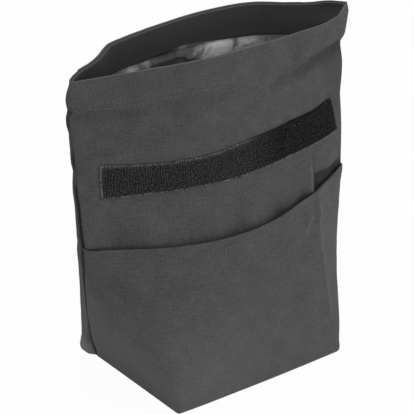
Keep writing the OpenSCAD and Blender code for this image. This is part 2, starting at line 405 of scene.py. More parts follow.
frontFolds = {
    "noise": [(0.9, 46, 3), (0.4, 21, 4)],
    "billows": [(112, 204, 20, 20, -3), (90, 260, 30, 26, 3.8), (-102, 139, 16, 12, -4),
                (-20, 222, 60, 14, 1.2), (-60, 186, 34, 30, 1.2), (-52, 130, 16, 12, -2.6),
                (-12, 130, 12, 12, -3.2), (31, 130, 11, 12, -3.6), (63, 130, 8, 12, -4.6)],
    "ridges": [(-134, 238, -88, 239, 5, -2.6), (-72, 240, -16, 237, 5.5, -2.4),
               (128, 241, 80, 240, 7, -5), (80, 240, 34, 232, 6, -3.4), (122, 257, 60, 253, 7, 2.2),
               (-60, 160, 60, 150, 9, 0.9), (-120, 222, -70, 206, 8, -1.4), (-20, 226, 30, 206, 7, -0.9)],
    "fold": 74.2,
    "rows": [(4.2, ("z", rise, 104, 14), ("z", fall, 160, 14), ("past", fall, 0, 1.8), ("past", rise, -26, 26)),
             (6.4, ("past", fall, 0, 1.8), ("x", rise, -118, 50), ("z", bell, 131, 21)),
             (-5.76, ("past", fall, 0, 1.8), ("x", rise, -118, 50), ("z", bell, 131, 21), ("x", rise, 5, 70)),
             (-3.6, ("past", rise, 0, 1.8), ("x", fall, 124, 4), ("under",), ("z", rise, 92, 20)),
             (2.6, ("past", rise, 0, 1.8), ("x", fall, 124, 4), ("over", bell, 9, 12), ("x", bell, 100, 15))],
    "lobeLine": ([76, 82, 94, 98, 103, 107, 112.5, 117, 128], [148, 146.5, 145, 144, 143, 142.5, 142, 141.5, 141]),
    "lobeStep": ([102, 110, 118], [4.5, 6, 8]), "lobeDrop": 3,
}


def frontPlaces(x, z):
    # where a point stands: past the fold, over the hem row, over the lobe's lower line and under it
    d = frontFolds
    over = z - np.interp(x, *d["lobeLine"])
    under = fall(over, -d["lobeDrop"], np.interp(x, *d["lobeStep"]))
    return {"x": x, "z": z, "past": x - d["fold"], "row": z - hemRow(x), "over": over, "under": under}


def pushFront(grid, run, n):
    x, z = xz(grid)
    out = addFolds(sumRows(frontFolds["rows"], frontPlaces(x, z)), x, z, frontFolds)
    out = held(out, run, z) + baseBulge(x, z) + hemRelief(x, z, hemRow(x)) - baseTuck(z, *wallHold["tuck"])
    return liftRim(leanSides(rollSeams(grid + out[..., None] * n, run, *wallHold["roll"])), run, "front")


backFolds = {
    "noise": [(1.4, 52, 8), (0.5, 23, 9)],
    "billows": [(-88, 262, 22, 30, -6), (84, 262, 36, 40, 5.5), (117, 262, 14, 34, 4),
                (0, 170, 70, 40, 2), (40, 60, 50, 30, -1.5)],
    "ridges": [(-60, 120, 70, 150, 10, -1.6), (-90, 190, -20, 214, 9, 1.4),
               (20, 205, 100, 186, 8, -1.6), (-40, 40, -70, 110, 8, 1.2)],
    "corner": (0.75, 0.42, 0.3, 10),
    "rows": [(6, ("z", bell, 0, 20), ("corner",)), (-4, ("z", bell, 68, 34), ("corner",))],
    "level": 25,
}


def pushBack(grid, run, n):
    x, z = xz(grid)
    d, h = backFolds, hemForm
    at, half, soft, seam = d["corner"]  # the rear left corner slumps
    corner = ease((half - np.abs(run / run[:, -1:] + at)) / soft) * ease(seamEdge(run) / seam)
    out = held(addFolds(0.0, x, z, d), run, z) + sumRows(d["rows"], {"z": z, "corner": corner})
    out += h["backShare"] * hemRelief(-np.abs(x), z, h["backRow"]) - baseTuck(z, *wallHold["tuck"])
    level = np.stack([n[..., 0], n[..., 1], n[..., 2] * ease(z / d["level"])], -1)
    p = rollSeams(grid + out[..., None] * level, run, *wallHold["roll"], "backReach")
    return liftRim(leanSides(p), run, "back")


# pocket sewn into the side seams and the base, standing off the front at its mouth
pocketForm = {
    "wallFoot": 0.3, "wallRows": 137, "seamGap": 0.7, "gap": 14, "gapRise": 1.3, "canvas": 1.4, "foot": 0.6, "top": 136,
    "step": 1.6, "cols": 200, "rimPaleAndLit": (0.1, 0.8),
    "hem": {"z": (127, 135.4), "step": 1.4, "cols": 160, "x0": 0.06, "x1": 0.94, "thick": 1.1, "gap": 0.05},
    "stitches": ([-127, -112, -94, 12, 126], [124, 126.2, 128.2, 129, 128]), "stitchDip": (0.5, 1.3),
}
pocketFolds = {
    "noise": [(0.4, 44, 15), (0.2, 19, 16)],
    "billows": [(100, 136, 20, 16, -3.4), (52, 136, 30, 18, -3), (-60, 60, 50, 40, 1),
                (100, 84, 20, 34, 1.6)],
    "ridges": [(65, 130, 54, 116, 2.4, 0.9), (60, 112, 56, 80, 9, -0.8)],
    "crease": ([16, 38, 75, 99, 110, 119, 131, 136], [79, 75, 70, 70, 72, 77, 80, 82]),
    "crest": {"height": 2.2, "left": 16, "right": 5.5, "fade": 0.8, "from": (116, 16)},
    "streaks": [(53, 111, 67, 122, 1.1, 0.3), (71, 111, 85, 124, 1.2, 0.2)],
    "mouth": ([-131, -125, -112, -100, 56, 70, 80, 88, 96, 104, 112, 118, 124, 128],
              [0, -2.2, -1, 0, 0, -0.6, -0.9, -2.2, -3.6, -4.4, -3.6, -2, -0.6, 0]), "mouthFrom": (122, 14),
}


def pocketRow(x):
    return np.interp(x, *pocketForm["stitches"])


def pocketPlan(z, turn):
    f = pocketForm
    off = f["seamGap"] + (f["gap"] - f["seamGap"]) * low(z) ** f["gapRise"] * np.sin(turn)
    return outline(True, z, turn, -off - f["canvas"])


def pastCrease(x, z):
    return x - np.interp(z, *pocketFolds["crease"])


def pushPocket(grid, run, n):
    x, z = xz(grid)
    c, past = pocketFolds["crest"], pastCrease(x, z)
    crest = c["height"] * (1.0 - c["fade"] * rise(z, *c["from"]))
    out = addFolds(0.0, x, z, pocketFolds)
    out += crest * np.exp(-np.maximum(past, 0.0) / c["right"] + np.minimum(past, 0.0) / c["left"])
    dip, soft = pocketForm["stitchDip"]
    out = held(out, run, z) + baseBulge(x, z) - dip * bell(z, pocketRow(x), soft) - baseTuck(z, *wallHold["pocketTuck"])
    p = leanSides(rollSeams(grid + out[..., None] * n, run, *wallHold["pocketRoll"]))
    p[..., 2] += np.interp(p[..., 0], *pocketFolds["mouth"]) * rise(z, *pocketFolds["mouthFrom"])
    return p


fineHeights = np.linspace(0.0, bagForm["height"], bagForm["rows"])
frontWall = Surface(fineHeights, lambda z, t: outline(True, z, t), 1.0, pushFront)
backWall = Surface(fineHeights, lambda z, t: outline(False, z, t), -1.0, pushBack)
pocketHeights = np.linspace(pocketForm["wallFoot"], pocketForm["top"], pocketForm["wallRows"])
pocketWall = Surface(pocketHeights, pocketPlan, 1.0, pushPocket)
print("walls lofted")


# node trees: feeds pairs each input with a value or with the socket that drives it
def feed(tree, n, feeds):
    for name, value in feeds.items():
        if isinstance(value, bpy.types.NodeSocket):
            tree.links.new(value, n.inputs[name])
        else:
            n.inputs[name].default_value = value


def addNode(tree, kind, feeds=None, **settings):
    n = tree.nodes.new(kind)
    for name, value in settings.items():
        setattr(n, name, value)
    feed(tree, n, feeds or {})
    return n


def newTree(kind, name, inputs, outputs):
    g = bpy.data.node_groups.new(name, kind)
    for label, socket, *value in inputs:
        s = g.interface.new_socket(label, in_out="INPUT", socket_type="NodeSocket" + socket)
        if value:
            s.default_value = value[0]
    for label, socket in outputs:
        g.interface.new_socket(label, in_out="OUTPUT", socket_type="NodeSocket" + socket)
    return g, g.nodes.new("NodeGroupInput").outputs, g.nodes.new("NodeGroupOutput")


def mathNode(tree, op, *values):
    return addNode(tree, "ShaderNodeMath", dict(enumerate(values)), operation=op).outputs[0]


def weigh(tree, *pairs):
    total = mathNode(tree, "MULTIPLY", *pairs[0])
    for socket, weight in pairs[1:]:
        total = mathNode(tree, "MULTIPLY_ADD", socket, weight, total)
    return total


# shader groups that several cloths share
def makeWeaveGroup(stretch=0.06, scale=1500.0):
    g, i, o = newTree("ShaderNodeTree", "plainWeave", [("Vector", "Vector"), ("Threads", "Float", 1800.0)],
                      [("Height", "Float"), ("Yarn", "Float")])
    split = addNode(g, "ShaderNodeSeparateXYZ", {0: i["Vector"]})
    u, v = (mathNode(g, "MULTIPLY", split.outputs[k], i["Threads"]) for k in (0, 1))

    def thread(across, along, sign):
        bulge = mathNode(g, "ABSOLUTE", mathNode(g, "SINE", mathNode(g, "MULTIPLY", across, math.pi)))
        phase = mathNode(g, "MULTIPLY", mathNode(g, "ADD", along, mathNode(g, "FLOOR", across)), math.pi)
        over = mathNode(g, "MULTIPLY_ADD", mathNode(g, "COSINE", phase), 0.5 * sign, 0.5)
        return mathNode(g, "MULTIPLY", bulge, over)
    streaks = []
    for ways in ((stretch, 1.0, 1.0), (1.0, stretch, 1.0)):
        m = addNode(g, "ShaderNodeMapping", {"Vector": i["Vector"], "Scale": ways})
        noise = addNode(g, "ShaderNodeTexNoise", {"Vector": m.outputs[0], "Scale": scale, "Detail": 1.0})
        streaks.append(noise.outputs[0])
    feed(g, o, {"Height": mathNode(g, "MAXIMUM", thread(u, v, 1.0), thread(v, u, -1.0)),
                "Yarn": mathNode(g, "MULTIPLY", mathNode(g, "ADD", *streaks), 0.5)})
    return g


def makeMottleGroup(detail=3.0):
    g, i, o = newTree("ShaderNodeTree", "clothMottle", [("Vector", "Vector"), ("Scale", "Float", 60.0)],
                      [("Broad", "Float"), ("Grain", "Float")])
    for label, times in (("Broad", 1.0), ("Grain", 14.0)):
        scale = mathNode(g, "MULTIPLY", i["Scale"], times)
        noise = addNode(g, "ShaderNodeTexNoise", {"Vector": i["Vector"], "Scale": scale, "Detail": detail})
        feed(g, o, {label: noise.outputs[0]})
    return g


weaveGroup = makeWeaveGroup()
mottleGroup = makeMottleGroup()


def newMaterial(name):
    m = bpy.data.materials.new(name)
    m.use_nodes = True
    return m, m.node_tree, m.node_tree.nodes["Principled BSDF"]


def placeGroup(tree, group, **feeds):
    return addNode(tree, "ShaderNodeGroup", feeds, node_tree=group).outputs


def placeWoven(tree, threads, scale):
    uv = addNode(tree, "ShaderNodeUVMap", uv_map="cloth").outputs[0]
    weave = placeGroup(tree, weaveGroup, Vector=uv, Threads=threads)
    mottle = placeGroup(tree, mottleGroup, Vector=uv, Scale=scale)
    return weave["Height"], weave["Yarn"], mottle["Broad"], mottle["Grain"]


def tinted(shade, times):
    return tuple(c * times for c in shade)


def rampBetween(tree, factor, *stops):
    r = addNode(tree, "ShaderNodeValToRGB", {0: factor})
    for spot, (at, colour) in zip(r.color_ramp.elements, stops):
        spot.position, spot.color = at, (*colour, 1.0)
    return r.outputs[0]


def bumpNormal(tree, height, strength, distance):
    return addNode(tree, "ShaderNodeBump", {"Strength": strength, "Distance": distance, "Height": height}).outputs[0]


# the attribute read here paints cloth and tape paler where it is above zero and darker below: a little real rubbed
# wear, mostly painted highlights and painted shade
wearAndLightLook = {"grain": (1.6, 0.05), "darken": 0.65}


def wornAndLitColour(tree, colour, grain, pale):
    mark = addNode(tree, "ShaderNodeAttribute", attribute_name="wear").outputs["Fac"]
    share = mathNode(tree, "MULTIPLY", mark, mathNode(tree, "MULTIPLY_ADD", grain, *wearAndLightLook["grain"]))
    dark = mathNode(tree, "MULTIPLY_ADD", mathNode(tree, "MINIMUM", mark, 0.0), wearAndLightLook["darken"], 1.0)
    dim = addNode(tree, "ShaderNodeVectorMath", {0: colour, "Scale": dark}, operation="SCALE").outputs[0]
    both = addNode(tree, "ShaderNodeMix", {0: share, 6: dim, 7: (*pale, 1.0)}, data_type="RGBA", clamp_factor=True)
    return both.outputs[2]


# woven cloth: canvas, facing and binding differ in colour, thread count, roughness and bump
clothLook = {"mottle": 55, "tone": (0.5, 0.5, 0.2, 0.12), "ramp": (0.54, 0.78), "pale": 2.2, "nap": 0.12,
             "specular": 0.08, "sheen": (0.03, 0.6), "yarnBump": 0.6, "bump": 0.00025}


def clothMaterial(name, shade, spread, threads, rough, bump):
    c = clothLook
    m, t, bsdf = newMaterial(name)
    height, yarn, broad, grain = placeWoven(t, threads, c["mottle"])
    tone = weigh(t, *zip((grain, yarn, broad, height), c["tone"]))
    colour = rampBetween(t, tone, *zip(c["ramp"], (tinted(shade, 1.0 - spread), tinted(shade, 1.0 + spread))))
    feed(t, bsdf, {"Base Color": wornAndLitColour(t, colour, grain, tinted(shade, c["pale"])),
                   "Roughness": mathNode(t, "MULTIPLY_ADD", grain, c["nap"], rough - c["nap"] / 2.0),
                   "Specular IOR Level": c["specular"], "Sheen Weight": c["sheen"][0], "Sheen Roughness": c["sheen"][1],
                   "Normal": bumpNormal(t, mathNode(t, "MULTIPLY_ADD", yarn, c["yarnBump"], height), bump, c["bump"])})
    return m


liningLook = {
    "threads": 3200, "mottle": 95, "tone": (0.3, 0.7),
    "dark": (0.35, (0.10, 0.101, 0.103)), "light": (0.65, (0.24, 0.242, 0.245)),
    "pale": (0.85, 0.85, 0.86), "rough": (0.24, 0.24), "metallic": 0.5, "weave": 0.05, "bump": (0.7, 0.005),
}


def liningMaterial():
    c = liningLook
    m, t, bsdf = newMaterial("silverLining")
    height, _, broad, grain = placeWoven(t, c["threads"], c["mottle"])
    colour = rampBetween(t, weigh(t, *zip((grain, broad), c["tone"])), c["dark"], c["light"])
    feed(t, bsdf, {"Base Color": wornAndLitColour(t, colour, grain, c["pale"]), "Metallic": c["metallic"],
                   "Roughness": mathNode(t, "MULTIPLY_ADD", broad, *c["rough"]),
                   "Normal": bumpNormal(t, mathNode(t, "MULTIPLY_ADD", height, c["weave"], broad), *c["bump"])})
    return m


# tapes, threads and board: flecked, with no weave to be seen
tapeLook = {"ramp": (0.38, 0.64), "pale": (0.16, 0.16, 0.162), "fleck": (4, -1.6), "rough": (0.3, 0.4),
            "bump": (0.5, 0.0004)}


def tapeMaterial(name, shade, scale, spread=(0.6, 1.5), gloss=0.1):
    c = tapeLook
    m, t, bsdf = newMaterial(name)
    place = addNode(t, "ShaderNodeTexCoord").outputs["Object"]
    mottle = placeGroup(t, mottleGroup, Vector=place, Scale=scale)
    grain = mottle["Grain"]
    colour = rampBetween(t, grain, *zip(c["ramp"], (tinted(shade, times) for times in spread)))
    fleck = mathNode(t, "MULTIPLY_ADD", grain, *c["fleck"])
    feed(t, bsdf, {"Base Color": wornAndLitColour(t, colour, fleck, c["pale"]), "Specular IOR Level": gloss,
                   "Roughness": mathNode(t, "MULTIPLY_ADD", mottle["Broad"], *c["rough"]),
                   "Normal": bumpNormal(t, grain, *c["bump"])})
    return m


canvasCloth = clothMaterial("greyCanvas", (0.083, 0.083, 0.085), spread=0.30, threads=1750.0, rough=0.9, bump=0.35)
facingCloth = clothMaterial("darkFacing", (0.066, 0.066, 0.067), spread=0.12, threads=2100.0, rough=0.92, bump=0.3)
bindingCloth = clothMaterial("bindingTape", (0.028, 0.028, 0.029), spread=0.3, threads=2400.0, rough=0.85, bump=0.3)
liningCloth = liningMaterial()
# the hooks are a paler copy of the tape's black, for the light they catch: painted highlight
hookFabric = tapeMaterial("hookFabric", (0.028, 0.028, 0.0285), 62.0, gloss=0.02)
hookBristle = tapeMaterial("hookBristle", (0.085, 0.085, 0.086), 62.0, (0.4, 1.9), 0.05)
loopFabric = tapeMaterial("loopNap", (0.015, 0.015, 0.0155), 520.0)
threadGrey = tapeMaterial("greyThread", (0.148, 0.148, 0.15), 700.0)
threadDark = tapeMaterial("darkThread", (0.016, 0.016, 0.0165), 700.0)
boardGrey = tapeMaterial("stiffBoard", (0.10, 0.09, 0.08), 160.0)
print("materials ready")


def setValues(piece, name, values):
    marks = piece.data.attributes
    spots = marks[name] if name in marks else marks.new(name, "FLOAT", "POINT")
    spots.data.foreach_set("value", np.asarray(values, np.float32).ravel())


def meshPiece(name, points, faces, material, marks=None, shades=None):
    mesh = bpy.data.meshes.new(name)
    mesh.from_pydata((points * mm).tolist(), [], faces)
    mesh.update()
    if marks is not None:
        at = np.empty(len(mesh.loops), dtype=np.int32)
        mesh.loops.foreach_get("vertex_index", at)
        mesh.uv_layers.new(name="cloth").data.foreach_set("uv", (marks[at] * mm).astype(np.float32).ravel())
    mesh.shade_smooth()
    if shades is not None:
        mesh.normals_split_custom_set_from_vertices(shades.tolist())
    mesh.materials.append(material)
    piece = bpy.data.objects.new(name, mesh)
    scene.collection.objects.link(piece)
    return piece


def quadsBetween(rows, cols, closed):
    # faces of a grid listed row by row, whose rows or columns may close on themselves
    i, j = np.meshgrid(np.arange(rows if "rows" in closed else rows - 1),
                       np.arange(cols if "cols" in closed else cols - 1), indexing="ij")
    up, along = (i + 1) % rows * cols, (j + 1) % cols
    return np.stack([i * cols + j, i * cols + along, up + along, up + j], -1).reshape(-1, 4)


# closed cloth shell from an outer grid, its normals and a thickness
def clothShell(name, grid, normal, run, thick, material, way=1.0, rims=(), wear=None, rimPaleAndLit=(1.0, 1.0), steps=6):
    rows, cols = grid.shape[:2]
    wear = np.zeros((rows, cols)) if wear is None else wear
    if way < 0:
        grid, normal, run, wear = grid[:, ::-1], normal[:, ::-1], -run[:, ::-1], wear[:, ::-1]
    inner = grid - thick * normal
    flat = np.stack([run, grid[..., 2]], -1)
    layers, shades, marks, wearAndLightRows = [*grid], [*normal], [*flat], [*wear]

    def rim(k, sign):
        up = grid[k] - grid[k - sign]
        up /= np.maximum(np.linalg.norm(up, axis=1, keepdims=True), 1e-9)
        for q in [math.pi * q / steps for q in range(1, steps)][::sign]:
            out = math.cos(q) * normal[k] + math.sin(q) * up
            layers.append((grid[k] + inner[k]) / 2.0 + thick / 2.0 * out)
            shades.append(out)
            marks.append(np.stack([run[k], grid[k][:, 2] + sign * q], -1))
            # rims are painted paler: rubbed wear and a painted edge highlight
            wearAndLightRows.append(np.broadcast_to(rimPaleAndLit[0] if sign > 0 else rimPaleAndLit[1], cols))
    top = len(layers)
    if "top" in rims:
        rim(rows - 1, 1)
    back = len(layers)
    layers += [*inner[::-1]]
    shades += [*-normal[::-1]]
    marks += [*flat[::-1]]
    wearAndLightRows += [np.zeros(cols)] * rows
    end = len(layers)
    if "bottom" in rims:
        rim(0, -1)
    total = len(layers)
    faces = quadsBetween(total, cols, ("rows",)).tolist()
    for j, order in ((0, 1), (cols - 1, -1)):
        for r in range(rows - 1):
            faces.append([k * cols + j for k in (r, r + 1, end - 2 - r, end - 1 - r)][::order])
        for first, last in ((top - 1, back), (end - 1, total)):
            if last - first > 1:
                faces.append([(r % total) * cols + j for r in range(first, last + 1)][::order])
    piece = meshPiece(name, np.array(layers).reshape(-1, 3), faces, material, np.array(marks).reshape(-1, 2),
                      np.array(shades).reshape(-1, 3))
    setValues(piece, "wear", wearAndLightRows)
    return piece


def cutSheet(wall, z0, z1, step, cols, lift=0.0, x0=0.0, x1=1.0, finer=()):
    n = max(2, int(round((z1 - z0) / step)) + 1)
    z, s = np.meshgrid(np.union1d(np.linspace(z0, z1, n), finer), np.linspace(x0, x1, cols), indexing="ij")
    p, nor, run = wall.sample(z, s)
    return p + lift * nor, nor, run


def evenGrid(rows, cols):
    return np.meshgrid(np.linspace(0.0, 1.0, rows), np.linspace(0.0, 1.0, cols), indexing="ij")


def pointsOf(piece):
    co = np.empty(len(piece.data.vertices) * 3, dtype=np.float32)
    piece.data.vertices.foreach_get("co", co)
    return (co.reshape(-1, 3) / mm).T


# the closed mouth: the upper walls lie flat behind the roll, and the back lining keeps ahead of its canvas
closing = {"plane": -42, "keep": 0.06, "travel": 100, "flatSeam": 172, "flatBack": 190, "bendBack": 30,
           "bendSeam": 136, "aside": (0.5, 0.45), "aheadFrom": (25, 40), "aheadTo": (200, 4)}
# each layer's turn over the fold: how far forward, how much more per mm of depth, from what height and over how much
foldTurns = {"none": (0, 0, 200, 1), "front": (9, 0, 198, 10), "frontLining": (8.7, 0, 198, 10),
             "back": (8, 0.12, 206.9, 1.1), "backLining": (3.7, 0.12, 203, 3.5)}


def bendWithMouth(piece, back, turn="none", ahead=0.0):
    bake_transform(piece, "bag_body", "back_wall", (0, 0, 0.1), (0, 0, 0.2))
    c = closing
    x, y, z = pointsOf(piece)
    aside = rise(np.abs(x) / halfWidth(z), *c["aside"]) if back else 1.0
    start, flat = mix(c["bendBack"], c["bendSeam"], aside), mix(c["flatBack"], c["flatSeam"], aside)
    ramp = rise(z, start, flat - start)
    deep = y - c["plane"]
    w = ramp * np.maximum(deep, 0.0) * (1.0 - c["keep"])
    w += ahead * ramp * rise(deep, *c["aheadFrom"]) * fall(z, *c["aheadTo"])
    far, fan, at, over = foldTurns[turn]
    w += (far + fan * np.maximum(deep, 0.0)) * rise(z, at, over)
    setValues(piece, "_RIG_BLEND", w / c["travel"])


def rollWith(piece, body):
    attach(piece, body)
    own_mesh(piece)


pocketSwing = {"z": (0, 136), "aside": (0.2, 0.8)}


def openWithPocket(piece):
    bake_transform(piece, "bag_body", "pocket", (0, 0, 0.0), (0, 0, 0.136))
    x, y, z = pointsOf(piece)
    aside = np.clip(np.abs(x) / halfWidth(z), 0.0, 1.0)
    setValues(piece, "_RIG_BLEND", rise(z, *pocketSwing["z"]) * fall(aside, *pocketSwing["aside"]))


# canvas walls in three bands each, which meet without a step
# rim: how pale each hem's top rim is painted, rubbed wear and a painted edge highlight
canvasWall = {"thick": 1.4, "step": 1.5, "cols": 290, "foot": 0.2, "foldRows": (206.9, 207.2, 207.45, 207.7),
              "rim": {"front": 0.6, "back": 0.3}}
# painted light on every wall: a painted highlight along the bottom fold and on a rear corner, paler towards the bottom
# (less so on the right) as if lit from the floor, and painted shade in the seam where the walls press together
seamShade = {
    "z": [0, 40, 136, 182, 188, 196, 202, 209, 215, 228, 233, 239],
    "dark": [1.38, 1.38, 1.3, 1.1, 0.35, 0.35, 0.9, 0.8, 0.2, 0.15, 0.5, 0.65],
    "near": (2.1, 1.4), "nearFrom": (120, 20), "soft": 2, "top": 243.9,
    "rows": [(0.8, ("z", fall, 0.4, 2), ("edge", rise, 0, 8)), (0.34, ("z", fall, 0, 115)),
             (-0.15, ("x", rise, -60, 100), ("z", fall, 0, 115)), (-1, ("dark",), ("seam",))],
    "corner": [(1.25, ("z", fall, 4, 16), ("edge", rise, 2, 5), ("edge", fall, 26, 14), ("left",))],
}
# painted light on the front: a painted highlight and painted shade along the fold, painted shade under the hem, in the
# recess and by the left seam, darker towards the upper left, and a painted highlight where the canvas is drawn up round
# the strip's left end
frontPaintedLight = [
    (0.3, ("past", bell, -0.8, 1.1), ("z", rise, 122, 8), ("z", fall, 160, 8)),
    (-0.28, ("past", bell, 4, 2.6), ("z", rise, 122, 8), ("z", fall, 160, 8)),
    (-0.42, ("row", bell, -4, 6), ("x", rise, 36, 40), ("x", fall, 126, 8)),
    (-0.17, ("row", bell, -6.5, 4.5), ("x", fall, -20, 50)),
    (-0.95, ("past", rise, 1, 2), ("under",), ("z", rise, 122, 18)),
    (-0.12, ("z", rise, 150, 60), ("x", fall, -80, 100)),
    (0.12, ("x", rise, -116, 1.5), ("x", fall, -95, 30), ("z", fall, 205, 2), ("z", rise, 170, 6)),
    (-0.32, ("x", bell, 113, 18), ("z", bell, 227, 14)), (-0.16, ("x", bell, -122, 6), ("z", bell, 203, 7)),
]
# painted light on the pocket: paler past its crease where it turns to the light, with a painted highlight on the crease
creasePaintedLight = [(0.15, ("past", rise, -1, 3), ("z", rise, 45, 35)), (0.36, ("past", bell, 0, 1.1), ("z", rise, 30, 16))]


# painted highlights and painted shade by the seams and the foot of each wall
def seamPaintedLight(p, run, corner=False):
    d, x, z, edge = seamShade, p[..., 0], p[..., 2], seamEdge(run)
    seam = fall(edge, mix(*d["near"], rise(z, *d["nearFrom"])), d["soft"])
    on = {"x": x, "z": z, "edge": edge, "left": run < 0.0, "dark": np.interp(z, d["z"], d["dark"]),
          "seam": seam * (z < d["top"])}
    return sumRows(d["rows"] + (d["corner"] if corner else []), on)


# painted highlights and painted shade on the front
def paintFrontLight(p):
    return sumRows(frontPaintedLight, frontPlaces(*xz(p)))


# painted highlights on the pocket's crease and along its streaks
def paintPocketLight(p):
    x, z = xz(p)
    streaks = sum(ridge(x, z, *line) for line in pocketFolds["streaks"])
    return sumRows(creasePaintedLight, {"z": z, "past": pastCrease(x, z)}) + streaks


def makeCanvas():
    c, b = canvasWall, bagForm
    bands = (("Panel", c["foot"], b["fold"]), ("Roll", b["fold"], b["hem"]), ("Hem", b["hem"], b["height"]))
    for label, wall, way in (("front", frontWall, 1.0), ("back", backWall, -1.0)):
        for band, z0, z1 in bands:
            p, n, run = cutSheet(wall, z0, z1, c["step"], c["cols"], finer=c["foldRows"] if band == "Panel" else ())
            # painted light and shade of each wall, with the front's own marks added
            wear = seamPaintedLight(p, run, True) if label == "back" else seamPaintedLight(p, run) + paintFrontLight(p)
            clothShell(label + band, p, n, run, c["thick"], canvasCloth, way, wear=wear,
                       rims=("top",) if band == "Hem" else (), rimPaleAndLit=(c["rim"][label], 0.0))


makeCanvas()
print("canvas walls made")


# facing inside the mouth and the crumpled lining below it, which stops short of the roll's fold
liningForm = {
    "canvas": 1.4, "gap": 0.1, "facing": 1.2, "lining": 0.8, "crumple": 3.2, "step": 1.4, "cols": 260, "seam": 14,
    "bands": (("Lining", 4.7, 207.2), ("RollLining", 208.8, 244)), "topSoft": (243.6, 3),
    "gleam": (0.55, (224, 20)),
    "tuck": {"z": (243.6, 250), "gap": 0.03, "thick": 0.06}, "facingTop": 269.2, "facingRows": 20, "facingRow": 243,
    "frontEdge": ([-130, 130], [243, 243]),
    "backEdge": ([-130, -70, -56, -33, -15, 4, 29, 61, 79, 104, 130],
                 [243, 242.2, 241, 243.2, 246.8, 249.4, 246.5, 244.2, 244, 243.6, 243]),
}
# gleam is where the foil catches or loses the light
liningFolds = {
    "front": {
        "billows": [(-60, 150, 20, 24, 4), (40, 120, 24, 20, 4)],
        "ridges": [(-80, 60, -30, 90, 2, 2.2), (10, 70, 60, 120, 2, 2.2), (-20, 150, 40, 190, 2, 2.2)],
        "gleam": [(-40, 160, 30, 20, 0.5), (50, 110, 26, 30, -0.5)],
    },
    "back": {
        "billows": [(48, 228, 13, 10, 4), (-4, 242, 13, 7, 1.6), (78, 228, 9, 12, 3),
                    (-37, 238, 7, 8, 3), (-22, 228, 9, 8, 3), (-52, 230, 8, 9, 4), (98, 232, 9, 9, 4)],
        "ridges": [(-36, 231, -33, 243, 1.2, -1.6), (-48, 232, -42, 242, 1.4, 1.2), (-29, 232, -22, 246, 2.2, 1.6),
                   (3, 243, 18, 236, 2, 1.8), (20, 238, 23, 247, 1, -1.4), (30, 236, 33, 246, 1.2, -1.4),
                   (59, 232, 59, 244, 1.2, -1.8), (64, 241, 78, 242, 1, 0.9), (64, 238.5, 78, 239.5, 1, 0.9),
                   (-60, 60, 0, 110, 2, 2.2), (0, 140, 70, 160, 2, 2.2)],
        "gleam": [(44, 240, 13, 7, 1.5), (10, 246, 7, 3, 0.9), (-26, 243, 4, 4, 0.5), (-42, 238, 6, 4, 0.8),
                  (-5, 246, 15, 8, -0.95), (26, 238, 8, 5, 0.4), (68, 238, 11, 6, 0.8), (96, 239, 10, 5, -0.7),
                  (60, 240, 1.6, 6, -0.8), (-30, 120, 36, 26, 0.5), (40, 170, 30, 22, -0.6)],
    },
}


# facets of crumpled cloth: each layer's size and share, how they slope, and how high and soft their creases are
crumpleForm = {"layers": ((30, 0.5), (15, 0.32), (7, 0.18)), "flatten": 0.8, "slope": (0.5, 0.35, 0.25),
               "crease": (0.75, 0.3)}


def crumple(x, z, seed, cells=24):
    # flat facets with sharp creases between them, as foil-backed cloth has
    c = crumpleForm
    middle, steep, apart = c["slope"]
    crease, soft = c["crease"]
    out = np.zeros_like(x)
    for k, (size, share) in enumerate(c["layers"]):
        rng = np.random.default_rng(seed + k)
        spots = rng.uniform(0.0, 1.0, (cells, cells, 2))
        lean = rng.uniform(-1.0, 1.0, (cells, cells, 3))
        fx, fz = x / size + 10.0 * cells, z / (size * c["flatten"]) + 10.0 * cells
        ix, iz = np.floor(fx).astype(int), np.floor(fz).astype(int)
        best, second = np.full_like(x, 9.0), np.full_like(x, 9.0)
        plane = np.zeros_like(x)
        for i, j in np.ndindex(3, 3):
            a, b = (ix + i - 1) % cells, (iz + j - 1) % cells
            dx, dz = fx - ix - (i - 1) - spots[a, b, 0], fz - iz - (j - 1) - spots[a, b, 1]
            far = np.hypot(dx, dz)
            nearer = far < best
            second = np.where(nearer, best, np.minimum(second, far))
            slope = middle + steep * (lean[a, b, 0] * dx + lean[a, b, 1] * dz) + apart * lean[a, b, 2]
            plane = np.where(nearer, slope, plane)
            best = np.where(nearer, far, best)
        out += share * mix(crease, plane, ease((second - best) / soft))
    return np.clip(out, 0.0, 1.0)


def facingSheet(wall, edge):
    f = liningForm
    t, share = evenGrid(f["facingRows"], f["cols"])
    x = np.interp(share, wall.share, wall.grid[f["facingRow"], :, 0])
    p, n, run = wall.sample(mix(np.interp(x, *edge), f["facingTop"], t), share)
    return p - (f["canvas"] + f["gap"]) * n, n, run


def paintInside(piece, p, label, way, foil):
    # the lining shows its inner layer, which a shell lists after the outer one from the top down
    # painted highlights and painted shade on the foil, and the lining painted paler low down where the front wall
    # shades it
    pale, up = liningForm["gleam"]
    gleam = sum(billow(*xz(p), *spot) for spot in liningFolds[label]["gleam"])
    gleam = (gleam + foil * pale * fall(p[..., 2], *up))[:, ::int(way)]
    setValues(piece, "wear", np.vstack([gleam, gleam[::-1]]))


